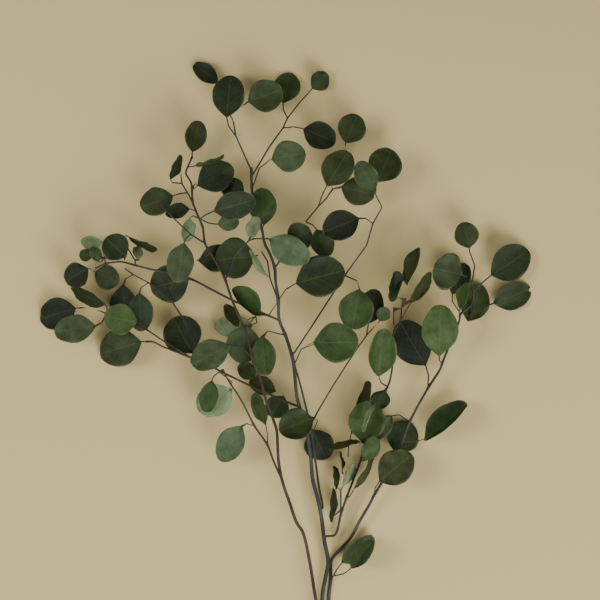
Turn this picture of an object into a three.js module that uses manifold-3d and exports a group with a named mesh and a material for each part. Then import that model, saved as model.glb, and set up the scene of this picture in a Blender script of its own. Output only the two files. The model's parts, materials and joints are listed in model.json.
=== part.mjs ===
// Bunch of dried eucalyptus, lying down as it rests on a table.
// Three cut stems fork into slimmer stems, branches and twigs that carry thin round leaves.
// Frame in millimetres: +Y runs from the cut ends to the top of the bunch, +Z is up, and the
// origin is the middle of the bunch's box, on the surface that it lies on.
import * as THREE from 'three';
import { mergeVertices } from 'three/addons/utils/BufferGeometryUtils.js';
import Module from 'manifold-3d';

const wasm = await Module();
wasm.setup();

// Driving dimensions, in millimetres.
const bunchLength = 660;      // cut ends to topmost leaf tip
const bunchSpread = 540;      // leftmost to rightmost leaf tip
const bunchDepth = 78;        // how high the front leaves stand over the surface
const sideSag = 41;           // how far the outermost leaves hang below the middle of the bunch
const topSag = 46;            // how far the topmost leaves hang below it
const stemScale = 1;          // share of every stem's drawn radius
const leafScale = 1;          // share of every leaf's drawn width
const leafThickness = 1.0;    // blade at its midrib
const stalkRadius = 0.8;      // leaf stalk
const twigRadius = 0.95;      // twigs inside a sprig, at their foot
const gap = 0.3;              // clearance where a piece meets the stem that it grows from
const stemSides = 6;
const bladeStations = [0, 0.12, 0.36, 0.66, 0.9, 1];   // shares of the blade's length
const stalkSteps = 2;

// The points below are drawn at this size, and follow the driving dimensions from it.
const drawnLength = 660;
const drawnSpread = 540;
const drawnDepth = 78;
const drawnMiddle = -41;      // halfway between the leftmost and the rightmost leaf
const drawnCrown = 300;       // where the bunch starts to sag towards its top
const drawnTop = 590;

// The sides and the top of the bunch sag until their lowest leaves reach the surface.
function place([x, y, z]) {
  const sideways = 2 * (x - drawnMiddle) / drawnSpread;
  const upwards = Math.max(0, y - drawnCrown) / (drawnTop - drawnCrown);
  const sag = sideSag * sideways ** 2 + topSag * upwards ** 2;
  return new THREE.Vector3(
    x * bunchSpread / drawnSpread,
    y * bunchLength / drawnLength,
    z * bunchDepth / drawnDepth - sag,
  );
}

// Stems and branches: radius at the foot and at the top, and the joints that the plant grew
// through. A stem that names another one starts inside it, at its first point.
const stems = {
  stem_main: {
    tone: 'stemDark', foot: 2.4, top: 1.35,
    path: [
      [-2, -70, 5], [1, 4, 7], [4, 22, 9], [7, 40, 10], [3, 62, 11], [0, 86, 13], [-4, 108, 16],
      [-10, 131, 19], [-13, 162, 23], [-17, 184, 26], [-25, 213, 30], [-28, 226, 31],
      [-31, 258, 33], [-33, 268, 34], [-40, 291, 36], [-47, 308, 38], [-48, 329, 39],
      [-51, 350, 41], [-52, 365, 42], [-57, 380, 43], [-63, 392, 44], [-66, 407, 45],
      [-73, 429, 46], [-77, 449, 47], [-78, 476, 48],
    ],
  },
  stem_slim: {
    tone: 'stemDark', foot: 1.4, top: 0.95, from: 'stem_main',
    path: [
      [0, 86, 13], [1, 100, 10], [-3, 122, 12], [-7, 151, 16], [-13, 191, 21], [-17, 209, 23],
      [-24, 237, 25], [-31, 261, 27], [-37, 284, 28], [-43, 298, 29],
    ],
  },
  stem_left: {
    tone: 'stemBrown', foot: 1.9, top: 0.95,
    path: [
      [6, -70, 13], [-7, 0, 14], [-14, 43, 15], [-21, 73, 17], [-28, 84, 18], [-35, 104, 20],
      [-44, 131, 24], [-48, 154, 28], [-49, 173, 31], [-50, 187, 34], [-55, 202, 37],
      [-62, 221, 41], [-67, 241, 44], [-76, 265, 48], [-82, 290, 52], [-90, 310, 54],
      [-97, 326, 56], [-104, 346, 58], [-106, 352, 58], [-111, 363, 58], [-122, 381, 58],
      [-128, 391, 58], [-130, 403, 58], [-131, 410, 58], [-139, 429, 57], [-142, 437, 57],
      [-143, 450, 56], [-144, 459, 56], [-150, 470, 55], [-148, 476, 55], [-143, 488, 54],
    ],
  },
  stem_left_fork: {
    tone: 'stemBrown', foot: 1.25, top: 0.9, from: 'stem_left',
    path: [
      [-44, 131, 24], [-54, 154, 28], [-60, 170, 30], [-74, 191, 34], [-89, 220, 39],
      [-105, 245, 43], [-109, 254, 44],
    ],
  },
  stem_right: {
    tone: 'stemDark', foot: 1.95, top: 1.0,
    path: [
      [10, -70, 3], [8, 0, 3], [10, 19, 3], [10, 36, 3], [11, 42, 4], [24, 57, 7],
      [33, 68, 10], [42, 85, 13], [53, 104, 16], [58, 114, 18], [67, 129, 20], [80, 152, 23],
      [87, 167, 25], [97, 195, 28], [117, 232, 32], [130, 252, 34], [133, 260, 35],
      [143, 285, 37], [152, 307, 39], [153, 314, 40], [165, 325, 42], [168, 340, 44],
    ],
  },
  stem_right_inner: {
    tone: 'stemBrown', foot: 1.4, top: 0.95, from: 'stem_right',
    path: [
      [11, 42, 4], [15, 70, 8], [21, 92, 11], [27, 110, 13], [36, 134, 16], [45, 159, 20],
      [54, 187, 24], [64, 213, 28], [67, 221, 29], [70, 229, 30], [75, 241, 31],
      [78, 261, 33], [77, 286, 36], [80, 296, 37],
    ],
  },
  branch_lower_left: {
    tone: 'stemDark', foot: 1.35, top: 0.95, from: 'stem_main',
    path: [
      [-47, 308, 38], [-69, 317, 41], [-99, 330, 44], [-126, 344, 46], [-144, 353, 47],
      [-165, 359, 48], [-185, 363, 49], [-205, 368, 50], [-221, 372, 51], [-238, 370, 52],
      [-250, 365, 52],
    ],
  },
  branch_left: {
    tone: 'stemBrown', foot: 1.35, top: 0.95, from: 'stem_main',
    path: [
      [-25, 213, 30], [-37, 217, 31], [-62, 228, 32], [-82, 237, 33], [-103, 247, 34],
      [-113, 252, 34], [-129, 261, 35], [-143, 266, 36], [-174, 278, 38], [-187, 284, 39],
      [-194, 284, 39],
    ],
  },
};

// A leaf: the joint that its stalk starts in, the blade's base and tip, its width, its roll
// about its own length and how far each half is folded up, both in degrees.
function leaf(joint, base, tip, width, roll = 0, fold = 8) {
  return { joint, base, tip, width, roll, fold };
}

// Leaves and leafy twigs. Each entry is one piece that grew as one: its twigs, if it has any,
// and its leaves. It starts inside the stem named by "on".
const foliage = {
  // Top of the bunch.
  sprig_top_left: {
    on: 'stem_main', tone: 'leafDark',
    twigs: [[[-78, 473, 48], [-95, 511, 50], [-98, 528, 51], [-110, 550, 52], [-118, 565, 53]]],
    leaves: [
      leaf([-118, 565, 53], [-115, 570, 53], [-142, 592, 56], 21, 12),
      leaf([-95, 511, 50], [-105, 531, 57], [-101, 579, 61], 38, -8),
      leaf([-98, 528, 51], [-82, 549, 53], [-44, 563, 57], 38, 10),
    ],
  },
  sprig_top_right: {
    on: 'stem_main', tone: 'leafGreen',
    twigs: [[[-78, 465, 48], [-58, 499, 49], [-43, 520, 50], [-38, 531, 50], [-25, 548, 50],
      [-14, 560, 50]]],
    leaves: [
      leaf([-38, 531, 50], [-43, 548, 45], [-35, 582, 45], 32, -6),
      leaf([-14, 560, 50], [-11, 564, 50], [6, 581, 52], 24, 15),
      leaf([-43, 520, 50], [-21, 519, 54], [15, 504, 50], 33, -10),
    ],
  },
  leaf_crown: {
    on: 'stem_main', tone: 'leafGreen',
    leaves: [leaf([-77, 452, 47], [-56, 485, 52], [-18, 492, 55], 37, 8)],
  },
  sprig_upper_middle: {
    on: 'stem_main', tone: 'leafGreen',
    twigs: [[[-52, 365, 42], [-35, 389, 43], [-18, 416, 45], [-4, 433, 47], [5, 442, 48],
      [12, 453, 49], [28, 487, 51], [26, 500, 52]]],
    leaves: [
      leaf([26, 500, 52], [26, 503, 52], [39, 535, 56], 34, 10),
      leaf([-4, 433, 47], [5, 455, 57], [29, 493, 61], 37, -8),
      leaf([5, 442, 48], [21, 455, 45], [58, 446, 42], 34, 6),
      leaf([-35, 389, 43], [-38, 394, 50], [-12, 406, 53], 34, 10),
      leaf([-18, 416, 45], [-6, 408, 44], [7, 378, 47], 28, -6),
    ],
  },
  sprig_upper_right: {
    on: 'stem_main', tone: 'leafDark',
    twigs: [[[-33, 268, 34], [-10, 303, 38], [10, 334, 42], [25, 357, 45], [49, 390, 49],
      [56, 414, 51], [66, 432, 53], [59, 446, 54]]],
    leaves: [
      leaf([59, 446, 54], [58, 450, 62], [40, 482, 66], 27, -14),
      leaf([59, 446, 54], [61, 460, 54], [77, 497, 52], 40, 8),
      leaf([56, 414, 51], [41, 420, 57], [1, 404, 54], 35, 6),
      leaf([25, 357, 45], [41, 342, 62], [33, 298, 58], 42, -8, 14),
    ],
  },

  // Right side.
  sprig_far_right: {
    on: 'stem_right', tone: 'leafDark',
    twigs: [[[168, 340, 44], [166, 349, 45], [169, 368, 46], [163, 384, 47]]],
    leaves: [
      leaf([163, 384, 47], [163, 387, 47], [156, 416, 50], 29, 10),
      leaf([166, 349, 45], [155, 358, 50], [122, 365, 53], 44, -8),
      leaf([168, 340, 44], [187, 357, 48], [229, 385, 52], 42, 8),
    ],
  },
  leaves_right_edge: {
    on: 'stem_right', tone: 'leafDark',
    twigs: [[[165, 325, 42], [168, 323, 38]]],
    leaves: [
      leaf([168, 323, 38], [190, 326, 39], [232, 343, 43], 32, 8),
      leaf([168, 323, 38], [162, 306, 32], [177, 347, 33], 34, 6),
    ],
  },
  leaves_right_fork: {
    on: 'stem_right', tone: 'leafGreen',
    twigs: [[[153, 314, 40], [151, 318, 45]]],
    leaves: [
      leaf([151, 318, 45], [152, 320, 54], [160, 349, 64], 22, -58),
      leaf([151, 318, 45], [144, 336, 39], [160, 371, 34], 25, 6),
    ],
  },
  leaf_right_front: {
    on: 'stem_right', tone: 'leafGreen',
    leaves: [leaf([133, 260, 35], [129, 268, 49], [130, 325, 57], 43, 6)],
  },
  leaf_right_behind: {
    on: 'stem_right', tone: 'leafDark',
    leaves: [leaf([117, 232, 32], [115, 257, 29], [86, 306, 25], 44, -6)],
  },
  sprig_right_middle: {
    on: 'stem_right_inner', tone: 'leafGreen',
    twigs: [[[80, 296, 37], [87, 308, 39], [88, 331, 41]]],
    leaves: [
      leaf([80, 296, 37], [79, 317, 40], [83, 362, 44], 28, 30, 25),
      leaf([88, 331, 41], [92, 346, 45], [107, 388, 49], 26, -55),
      leaf([87, 308, 39], [97, 326, 44], [119, 361, 47], 26, 55),
    ],
  },
  sprig_right_inner: {
    on: 'stem_right_inner', tone: 'leafPale',
    twigs: [[[70, 229, 30], [73, 234, 36]]],
    leaves: [
      leaf([73, 234, 36], [63, 244, 38], [68, 299, 44], 40, 10, 36),
      leaf([73, 234, 36], [59, 217, 50], [45, 185, 47], 22, 76),
      leaf([73, 234, 36], [69, 231, 37], [60, 210, 40], 23, 8),
    ],
  },
  leaves_right_twisted: {
    on: 'stem_right_inner', tone: 'leafGreen',
    twigs: [[[45, 159, 20], [43, 157, 27]]],
    leaves: [
      leaf([43, 157, 27], [42, 175, 43], [8, 165, 41], 20, 68),
      leaf([43, 157, 27], [46, 153, 36], [60, 180, 44], 22, 20),
    ],
  },
  leaf_right_back: {
    on: 'stem_right_inner', tone: 'leafGreen',
    leaves: [leaf([54, 187, 24], [46, 172, 32], [53, 219, 34], 42, -6)],
  },
  leaf_right_upright: {
    on: 'stem_right_inner', tone: 'leafGreen',
    leaves: [leaf([27, 110, 13], [33, 116, 20], [57, 162, 27], 24, 74)],
  },
  leaf_right_half_moon: {
    on: 'stem_right', tone: 'leafGreen',
    leaves: [leaf([90, 174, 26], [112, 176, 32], [160, 216, 37], 40, -35, 42)],
  },
  leaf_right_olive: {
    on: 'stem_right', tone: 'leafDark',
    leaves: [leaf([58, 114, 18], [63, 129, 30], [99, 160, 36], 40, -8)],
  },
  leaf_right_shaded: {
    on: 'stem_right', tone: 'leafGreen',
    leaves: [leaf([87, 167, 25], [82, 160, 17], [97, 195, 14], 38, 5)],
  },
  leaf_right_grey: {
    on: 'stem_right', tone: 'leafPale',
    leaves: [leaf([97, 195, 28], [78, 202, 22], [51, 177, 14], 25, -8)],
  },
  leaves_low_right: {
    on: 'stem_right', tone: 'leafPale',
    twigs: [[[10, 19, 3], [13, 24, 8]]],
    leaves: [
      leaf([13, 24, 8], [22, 38, 11], [57, 68, 14], 30, 20, 25),
      leaf([13, 24, 8], [32, 33, 21], [57, 64, 28], 22, -30),
    ],
  },
  sprig_low_middle: {
    on: 'stem_right_inner', tone: 'leafPale',
    twigs: [[[21, 92, 11], [21, 120, 14], [27, 141, 15], [29, 156, 17]]],
    leaves: [
      leaf([21, 120, 14], [23, 124, 24], [35, 150, 29], 22, 62),
      leaf([27, 141, 15], [23, 138, 22], [20, 163, 20], 20, 78),
      leaf([21, 120, 14], [16, 120, 17], [14, 147, 18], 20, 64),
      leaf([29, 156, 17], [32, 180, 15], [51, 241, 19], 28, 56),
      leaf([21, 98, 12], [10, 84, 16], [12, 122, 19], 20, 66),
    ],
  },

  // Middle.
  sprig_middle: {
    on: 'stem_slim', tone: 'leafDark',
    twigs: [[[-13, 191, 21], [-4, 208, 24], [12, 235, 30], [29, 262, 36], [41, 280, 40],
      [49, 291, 43], [61, 305, 46]]],
    leaves: [
      leaf([61, 305, 46], [63, 307, 50], [71, 322, 54], 17, 10),
      leaf([49, 291, 43], [51, 303, 39], [59, 342, 41], 32, -25),
    ],
  },
  leaf_middle_front: {
    on: 'stem_main', tone: 'leafGreen',
    leaves: [leaf([-31, 258, 33], [-10, 283, 49], [40, 284, 52], 46, 6)],
  },
  leaf_middle_upper: {
    on: 'stem_main', tone: 'leafDark',
    leaves: [leaf([-48, 329, 39], [-29, 348, 57], [25, 363, 61], 48, -6)],
  },
  leaf_middle_folded: {
    on: 'stem_slim', tone: 'leafPale',
    leaves: [leaf([-11, 180, 19], [-9, 201, 35], [-47, 186, 44], 38, 8, 16)],
  },
  leaf_middle_lower: {
    on: 'stem_slim', tone: 'leafDark',
    leaves: [leaf([-16, 203, 22], [-11, 187, 12], [5, 153, 7], 35, 6)],
  },
  sprig_middle_behind: {
    on: 'branch_left', tone: 'leafDark',
    twigs: [[[-62, 228, 32], [-60, 228, 24]]],
    leaves: [
      leaf([-60, 228, 24], [-51, 229, 20], [-80, 241, 15], 22, 10),
      leaf([-60, 228, 24], [-42, 224, 20], [-57, 201, 14], 28, -8),
      leaf([-60, 228, 24], [-73, 244, 22], [-92, 258, 20], 20, 8),
    ],
  },
  sprig_front: {
    on: 'stem_left', tone: 'leafPale',
    twigs: [[[-106, 352, 58], [-99, 367, 62], [-96, 377, 64], [-90, 385, 65], [-81, 394, 66],
      [-74, 397, 66], [-62, 397, 66]]],
    leaves: [
      leaf([-62, 397, 66], [-58, 397, 66], [-14, 373, 63], 34, 8),
      leaf([-81, 394, 66], [-79, 396, 71], [-70, 421, 73], 22, -45),
    ],
  },
  sprig_inner: {
    on: 'stem_main', tone: 'leafDark',
    twigs: [[[-48, 329, 39], [-57, 353, 37], [-60, 373, 37], [-67, 384, 37]]],
    leaves: [
      leaf([-67, 384, 37], [-73, 378, 40], [-118, 374, 40], 48, 5),
      leaf([-67, 384, 37], [-80, 386, 52], [-58, 355, 54], 15, 66),
    ],
  },
  leaf_inner_behind: {
    on: 'stem_left', tone: 'leafDark',
    leaves: [leaf([-122, 381, 58], [-136, 373, 36], [-96, 380, 29], 32, 8)],
  },
  leaves_inner_upper: {
    on: 'stem_main', tone: 'leafGreen',
    twigs: [[[-66, 407, 45], [-67, 409, 50]]],
    leaves: [
      leaf([-67, 409, 50], [-64, 412, 53], [-66, 453, 57], 33, -8),
      leaf([-67, 409, 50], [-86, 446, 51], [-109, 458, 41], 26, 8),
    ],
  },

  // Upper left.
  leaf_left_top: {
    on: 'stem_left', tone: 'leafGreen',
    leaves: [leaf([-143, 488, 54], [-143, 493, 55], [-136, 528, 59], 25, 10)],
  },
  sprig_left_top: {
    on: 'stem_left', tone: 'leafDark',
    twigs: [[[-142, 437, 57], [-148, 448, 60], [-154, 458, 62], [-155, 469, 62],
      [-149, 476, 62], [-142, 477, 62]]],
    leaves: [
      leaf([-142, 477, 62], [-140, 477, 66], [-107, 489, 68], 20, 74),
      leaf([-154, 458, 62], [-167, 463, 62], [-156, 490, 64], 23, 66),
      leaf([-148, 448, 60], [-164, 445, 51], [-200, 432, 47], 33, 8),
    ],
  },
  leaf_left_blue: {
    on: 'stem_left', tone: 'leafDark',
    twigs: [[[-143, 450, 56], [-139, 461, 58], [-125, 468, 58], [-102, 461, 58], [-86, 453, 57]]],
    leaves: [leaf([-139, 461, 58], [-137, 456, 52], [-98, 476, 48], 37, -6)],
  },
  leaves_left_silver: {
    on: 'stem_left', tone: 'leafPale',
    twigs: [[[-131, 410, 58], [-134, 419, 64]]],
    leaves: [
      leaf([-134, 419, 64], [-119, 427, 68], [-73, 440, 71], 33, 8),
      leaf([-134, 419, 64], [-115, 413, 62], [-91, 416, 61], 19, 10),
      leaf([-134, 419, 64], [-145, 430, 63], [-172, 425, 60], 19, 20),
      leaf([-134, 419, 64], [-145, 420, 55], [-150, 394, 51], 22, -44),
    ],
  },
  sprig_left_front: {
    on: 'stem_left', tone: 'leafPale',
    twigs: [[[-130, 393, 58], [-144, 402, 65], [-160, 417, 68], [-175, 432, 69]]],
    leaves: [leaf([-144, 402, 65], [-151, 393, 65], [-159, 349, 60], 32, 8)],
  },

  // Far left.
  leaves_far_left_tip: {
    on: 'branch_lower_left', tone: 'leafDark',
    twigs: [[[-250, 365, 52], [-254, 363, 52]]],
    leaves: [
      leaf([-254, 363, 52], [-258, 365, 55], [-283, 350, 59], 30, 8),
      leaf([-254, 363, 52], [-251, 361, 47], [-224, 349, 45], 29, 6),
    ],
  },
  sprig_far_left_top: {
    on: 'branch_lower_left', tone: 'leafGreen',
    twigs: [[[-238, 370, 52], [-240, 376, 55]]],
    leaves: [
      leaf([-240, 376, 55], [-246, 372, 58], [-253, 389, 60], 14, 20),
      leaf([-240, 376, 55], [-252, 380, 50], [-269, 379, 47], 15, 6),
      leaf([-240, 376, 55], [-242, 394, 50], [-267, 394, 48], 18, -30),
      leaf([-240, 376, 55], [-215, 377, 64], [-238, 398, 67], 33, 6),
    ],
  },
  leaves_left_rolled: {
    on: 'branch_lower_left', tone: 'leafPale',
    twigs: [[[-205, 368, 50], [-206, 374, 53]]],
    leaves: [
      leaf([-206, 374, 53], [-217, 401, 52], [-181, 386, 52], 22, 68),
      leaf([-206, 374, 53], [-201, 374, 54], [-205, 389, 46], 12, 15),
    ],
  },
  leaf_left_large: {
    on: 'branch_lower_left', tone: 'leafDark',
    leaves: [leaf([-144, 353, 47], [-146, 354, 40], [-189, 343, 35], 44, -5)],
  },
  sprig_left_cross: {
    on: 'branch_left', tone: 'leafDark',
    twigs: [[[-129, 261, 35], [-153, 310, 41], [-165, 328, 43], [-178, 341, 43],
      [-191, 349, 42], [-208, 358, 41], [-218, 365, 40]]],
    leaves: [
      leaf([-208, 358, 41], [-220, 347, 34], [-218, 303, 26], 32, 8),
      leaf([-191, 349, 42], [-202, 338, 40], [-199, 295, 36], 30, -8),
    ],
  },
  leaf_left_shaded: {
    on: 'branch_left', tone: 'leafDark',
    leaves: [leaf([-143, 266, 36], [-143, 271, 27], [-165, 311, 24], 45, 6)],
  },
  sprig_left_upper: {
    on: 'branch_left', tone: 'leafGreen',
    twigs: [[[-143, 266, 36], [-162, 277, 38], [-178, 287, 40], [-191, 296, 42],
      [-200, 300, 43], [-238, 315, 46], [-250, 320, 47], [-260, 322, 48], [-269, 321, 48]]],
    leaves: [
      leaf([-191, 296, 42], [-203, 306, 52], [-240, 312, 56], 36, -8),
      leaf([-269, 321, 48], [-272, 321, 48], [-313, 309, 44], 37, 6),
      leaf([-238, 315, 46], [-249, 301, 51], [-296, 295, 54], 33, 8),
      leaf([-238, 315, 46], [-239, 325, 49], [-277, 343, 45], 26, -50),
    ],
  },
  leaf_left_end: {
    on: 'branch_left', tone: 'leafDark',
    leaves: [leaf([-194, 284, 39], [-199, 284, 38], [-246, 270, 29], 44, 6)],
  },

  // Lower left and the middle, behind the left stem.
  leaves_left_fork_tip: {
    on: 'stem_left_fork', tone: 'leafPale',
    twigs: [[[-109, 254, 44], [-113, 251, 43]]],
    leaves: [
      leaf([-113, 251, 43], [-121, 242, 44], [-127, 206, 38], 22, 8),
      leaf([-113, 251, 43], [-99, 232, 35], [-137, 208, 28], 38, -8),
    ],
  },
  leaf_left_hanging: {
    on: 'stem_left_fork', tone: 'leafPale',
    leaves: [leaf([-74, 191, 34], [-88, 192, 35], [-112, 152, 26], 32, 8)],
  },
  leaf_left_edge: {
    on: 'stem_left_fork', tone: 'leafPale',
    leaves: [leaf([-60, 170, 30], [-62, 192, 28], [-74, 228, 25], 22, -40)],
  },
  leaf_left_cover: {
    on: 'stem_left', tone: 'leafPale',
    leaves: [leaf([-76, 265, 48], [-101, 281, 58], [-143, 259, 51], 34, 8)],
  },
  leaf_left_green: {
    on: 'stem_main', tone: 'leafGreen',
    leaves: [leaf([-40, 291, 36], [-66, 291, 34], [-62, 247, 26], 29, 8)],
  },
  leaf_left_folded: {
    on: 'stem_main', tone: 'leafDark',
    leaves: [leaf([-48, 329, 39], [-67, 313, 48], [-98, 343, 48], 32, 32, 36)],
  },
  sprig_behind_left: {
    on: 'branch_lower_left', tone: 'leafPale',
    twigs: [[[-69, 317, 41], [-73, 312, 33]]],
    leaves: [
      leaf([-73, 312, 33], [-84, 303, 24], [-89, 260, 20], 40, 6),
      leaf([-73, 312, 33], [-76, 302, 18], [-119, 301, 10], 26, -6),
      leaf([-73, 312, 33], [-92, 300, 34], [-107, 325, 34], 20, 40),
    ],
  },
};

const finishes = {
  leafDark: { color: 0x2d362c, roughness: 0.62, metalness: 0 },
  leafGreen: { color: 0x47523c, roughness: 0.6, metalness: 0 },
  leafPale: { color: 0x777b65, roughness: 0.66, metalness: 0 },
  stemDark: { color: 0x3a3a36, roughness: 0.7, metalness: 0 },
  stemBrown: { color: 0x5c4436, roughness: 0.7, metalness: 0 },
};

// Joins rings of points into one closed body: a fan at the foot, and a fan or a single point at
// the top. Each four-sided patch is cut along the same diagonal.
function closedLoft(rings, tip) {
  const sides = rings[0].length;
  const positions = [];
  const triangles = [];
  rings.flat().forEach((point) => positions.push(point.x, point.y, point.z));
  for (let ring = 0; ring + 1 < rings.length; ring += 1) {
    for (let side = 0; side < sides; side += 1) {
      const a = ring * sides + side;
      const b = ring * sides + (side + 1) % sides;
      const c = a + sides;
      const d = b + sides;
      triangles.push(a, b, c, b, d, c);
    }
  }
  for (let side = 1; side + 1 < sides; side += 1) {
    triangles.push(0, side + 1, side);
  }
  const last = (rings.length - 1) * sides;
  if (tip) {
    positions.push(tip.x, tip.y, tip.z);
    for (let side = 0; side < sides; side += 1) {
      triangles.push(last + side, last + (side + 1) % sides, rings.length * sides);
    }
  } else {
    for (let side = 1; side + 1 < sides; side += 1) {
      triangles.push(last, last + side, last + side + 1);
    }
  }
  const geometry = new THREE.BufferGeometry();
  geometry.setAttribute('position', new THREE.Float32BufferAttribute(positions, 3));
  geometry.setIndex(triangles);
  return geometry;
}

// A round tube through the points, from one radius to another, and fatter by "grow".
function tube(points, foot, top, sides, grow = 0) {
  const rings = points.map((point, index) => {
    const before = points[Math.max(index - 1, 0)];
    const after = points[Math.min(index + 1, points.length - 1)];
    const along = after.clone().sub(before).normalize();
    const across = new THREE.Vector3(0, 0, 1).cross(along).normalize();
    const upward = along.clone().cross(across);
    const share = index / (points.length - 1);
    const radius = THREE.MathUtils.lerp(foot, top, share) + grow;
    return Array.from({ length: sides }, (_, side) => {
      const turn = 2 * Math.PI * side / sides;
      return point.clone()
        .addScaledVector(across, radius * Math.cos(turn))
        .addScaledVector(upward, radius * Math.sin(turn));
    });
  });
  return solid(closedLoft(rings));
}

// One leaf: a slim stalk that swings out of its joint and flattens into a lens-shaped blade.
function leafSolid({ joint, base, tip, width, roll, fold }) {
  const foot = place(base);
  const end = place(tip);
  const start = place(joint);
  const length = foot.distanceTo(end);
  const along = end.clone().sub(foot).normalize();
  const level = along.clone().cross(new THREE.Vector3(0, 0, 1)).normalize();
  const across = level.applyAxisAngle(along, THREE.MathUtils.degToRad(roll));
  const face = across.clone().cross(along);
  const rise = THREE.MathUtils.degToRad(fold);
  const rings = [];

  const reach = start.distanceTo(foot);
  const bend = foot.clone().addScaledVector(along, -0.4 * reach);
  const stalk = new THREE.QuadraticBezierCurve3(start, bend, foot);
  for (let step = 0; step < stalkSteps; step += 1) {
    const share = step / stalkSteps;
    const heading = stalk.getTangent(share);
    const side = across.clone().addScaledVector(heading, -across.dot(heading)).normalize();
    const front = side.clone().cross(heading);
    rings.push(diamond(stalk.getPoint(share), side, front, stalkRadius, stalkRadius, 0));
  }
  for (const share of bladeStations.slice(0, -1)) {
    const round = Math.sqrt(4 * share * (1 - share)) * (1.12 - 0.24 * share);
    const half = Math.max(stalkRadius, width * leafScale / 2 * round);
    const centre = foot.clone().addScaledVector(along, share * length)
      .addScaledVector(face, 0.05 * length * Math.sin(Math.PI * share));
    const thick = Math.max(leafThickness / 2, stalkRadius * (1 - 5 * share));
    rings.push(diamond(centre, across, face, half, thick, share > 0 ? rise : 0));
  }
  return solid(closedLoft(rings, end));
}

// Left rim, upper midrib, right rim and lower midrib, with both rims raised by the fold.
function diamond(centre, side, front, half, thick, rise) {
  const out = half * Math.cos(rise);
  const up = half * Math.sin(rise) / 2;
  const low = centre.clone().addScaledVector(front, -up);
  return [
    low.clone().addScaledVector(side, -out).addScaledVector(front, 2 * up),
    low.clone().addScaledVector(front, thick),
    low.clone().addScaledVector(side, out).addScaledVector(front, 2 * up),
    low.clone().addScaledVector(front, -thick),
  ];
}

function solid(geometry) {
  const merged = mergeVertices(geometry, 1e-4);
  return new wasm.Manifold(new wasm.Mesh({
    numProp: 3,
    vertProperties: new Float32Array(merged.attributes.position.array),
    triVerts: new Uint32Array(merged.index.array),
  }));
}

function stemSolid(name, grow = 0) {
  const { path, foot, top } = stems[name];
  return tube(path.map(place), foot * stemScale, top * stemScale, stemSides, grow);
}

function twigSolid(path) {
  return tube(path.map(place), twigRadius, 0.75 * twigRadius, stemSides);
}

function addPiece(group, name, body, tone) {
  const { vertProperties, triVerts } = body.getMesh();
  const geometry = new THREE.BufferGeometry();
  geometry.setAttribute('position', new THREE.BufferAttribute(vertProperties, 3));
  geometry.setIndex(new THREE.BufferAttribute(triVerts, 1));
  geometry.computeVertexNormals();
  const mesh = new THREE.Mesh(geometry, new THREE.MeshStandardMaterial(finishes[tone]));
  mesh.name = name;
  group.add(mesh);
}

const bunch = new THREE.Group();
for (const [name, stem] of Object.entries(stems)) {
  const whole = stemSolid(name);
  const body = stem.from ? whole.subtract(stemSolid(stem.from, gap)) : whole;
  addPiece(bunch, name, body, stem.tone);
}
for (const [name, piece] of Object.entries(foliage)) {
  const grown = [...(piece.twigs ?? []).map(twigSolid), ...piece.leaves.map(leafSolid)];
  const whole = grown.reduce((joined, next) => joined.add(next));
  addPiece(bunch, name, whole.subtract(stemSolid(piece.on, gap)), piece.tone);
}

// The bunch's box stands on the surface, with its middle over the origin.
const box = new THREE.Box3().setFromObject(bunch);
const middle = box.getCenter(new THREE.Vector3());
bunch.position.set(-middle.x, -middle.y, -box.min.z);
bunch.updateMatrixWorld(true);

export default bunch;
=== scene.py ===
import json
import math
import random

import bmesh
import bpy
from mathutils import Matrix, Vector, noise
from mathutils.bvhtree import BVHTree


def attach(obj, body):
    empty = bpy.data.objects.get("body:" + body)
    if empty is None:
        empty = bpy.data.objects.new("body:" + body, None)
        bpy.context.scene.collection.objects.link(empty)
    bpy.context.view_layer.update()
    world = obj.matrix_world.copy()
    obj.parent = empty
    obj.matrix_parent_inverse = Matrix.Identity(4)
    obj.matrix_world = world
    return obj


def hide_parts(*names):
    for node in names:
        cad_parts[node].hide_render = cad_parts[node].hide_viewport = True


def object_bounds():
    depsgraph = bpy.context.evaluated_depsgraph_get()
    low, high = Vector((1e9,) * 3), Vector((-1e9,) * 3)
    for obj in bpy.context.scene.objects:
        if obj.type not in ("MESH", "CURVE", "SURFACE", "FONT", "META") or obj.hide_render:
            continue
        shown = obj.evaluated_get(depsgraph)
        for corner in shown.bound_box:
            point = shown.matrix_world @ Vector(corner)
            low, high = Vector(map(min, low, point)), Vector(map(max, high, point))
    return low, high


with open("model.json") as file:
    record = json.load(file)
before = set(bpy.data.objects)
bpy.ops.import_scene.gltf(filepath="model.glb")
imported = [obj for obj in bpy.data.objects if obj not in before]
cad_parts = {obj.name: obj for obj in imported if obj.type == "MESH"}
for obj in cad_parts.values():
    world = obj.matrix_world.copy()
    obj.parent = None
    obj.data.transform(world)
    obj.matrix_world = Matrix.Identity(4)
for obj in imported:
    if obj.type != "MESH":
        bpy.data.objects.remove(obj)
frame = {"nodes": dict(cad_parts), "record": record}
cadLow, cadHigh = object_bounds()
print("frame loaded:", len(frame["nodes"]), "nodes")

millimetre = 0.001

# how leaves are told apart in the frame's own shapes
leafReading = {
    "weld": 0.002 * millimetre,      # corners this close together are one
    "rimCorners": 4,                 # on each side of a blade, between its stalk and its tip
    "knifeEdge": math.radians(140),  # at a tip, both rims fold over by at least this
    "narrowestTip": 3 * millimetre,
}


def mergedCopy(nodeName):
    copy = bmesh.new()
    copy.from_mesh(frame["nodes"][nodeName].data)
    bmesh.ops.remove_doubles(copy, verts=copy.verts, dist=leafReading["weld"])
    copy.normal_update()
    return copy


def foldAngle(edge):
    return edge.calc_face_angle() if len(edge.link_faces) == 2 else 0.0


def sharpest(vert, notThis=None):  # a blade is a lens, so its rim is its sharpest edge
    return max((edge for edge in vert.link_edges if edge is not notThis), key=foldAngle)


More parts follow.
